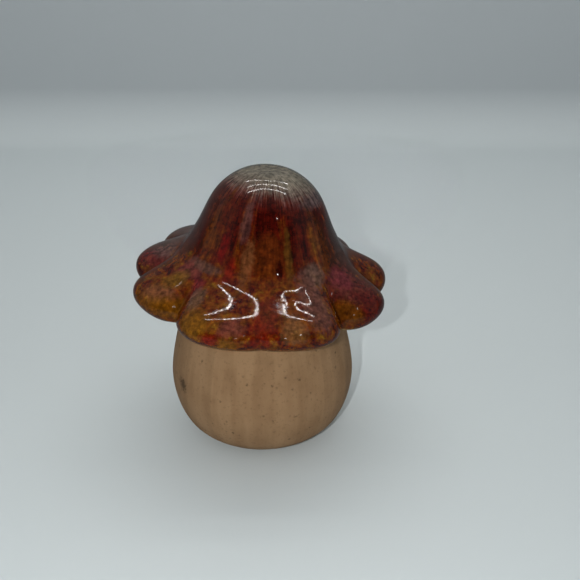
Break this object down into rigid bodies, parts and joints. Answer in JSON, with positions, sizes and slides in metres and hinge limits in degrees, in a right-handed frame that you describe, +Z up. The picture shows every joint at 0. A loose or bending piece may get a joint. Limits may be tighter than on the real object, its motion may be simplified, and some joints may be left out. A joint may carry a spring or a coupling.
{
  "type": "ceramic mushroom ornament",
  "caption": "Small free-standing mushroom: a round hollow bulb of bare clay under a tall bell-shaped cap with a wavy skirt, glazed on its outside.",
  "frame": {"origin": "centre of the bulb's flat foot, on the surface that it stands on", "axes": "+Z up along the bulb's axis, -Y towards the front of the ornament, +X to the right as seen from the front, the side that the cap leans to"},
  "size_m": [0.0714, 0.0735, 0.0797],
  "materials": {
    "bare_clay": "matte",
    "clay_slip": "matte",
    "red_amber_glaze": "gloss"
  },
  "bodies": {
    "root": {"bulb": "bare_clay", "lute_ring": "clay_slip", "cap": "bare_clay", "cap_glaze": "red_amber_glaze"}
  },
  "joints": []
}
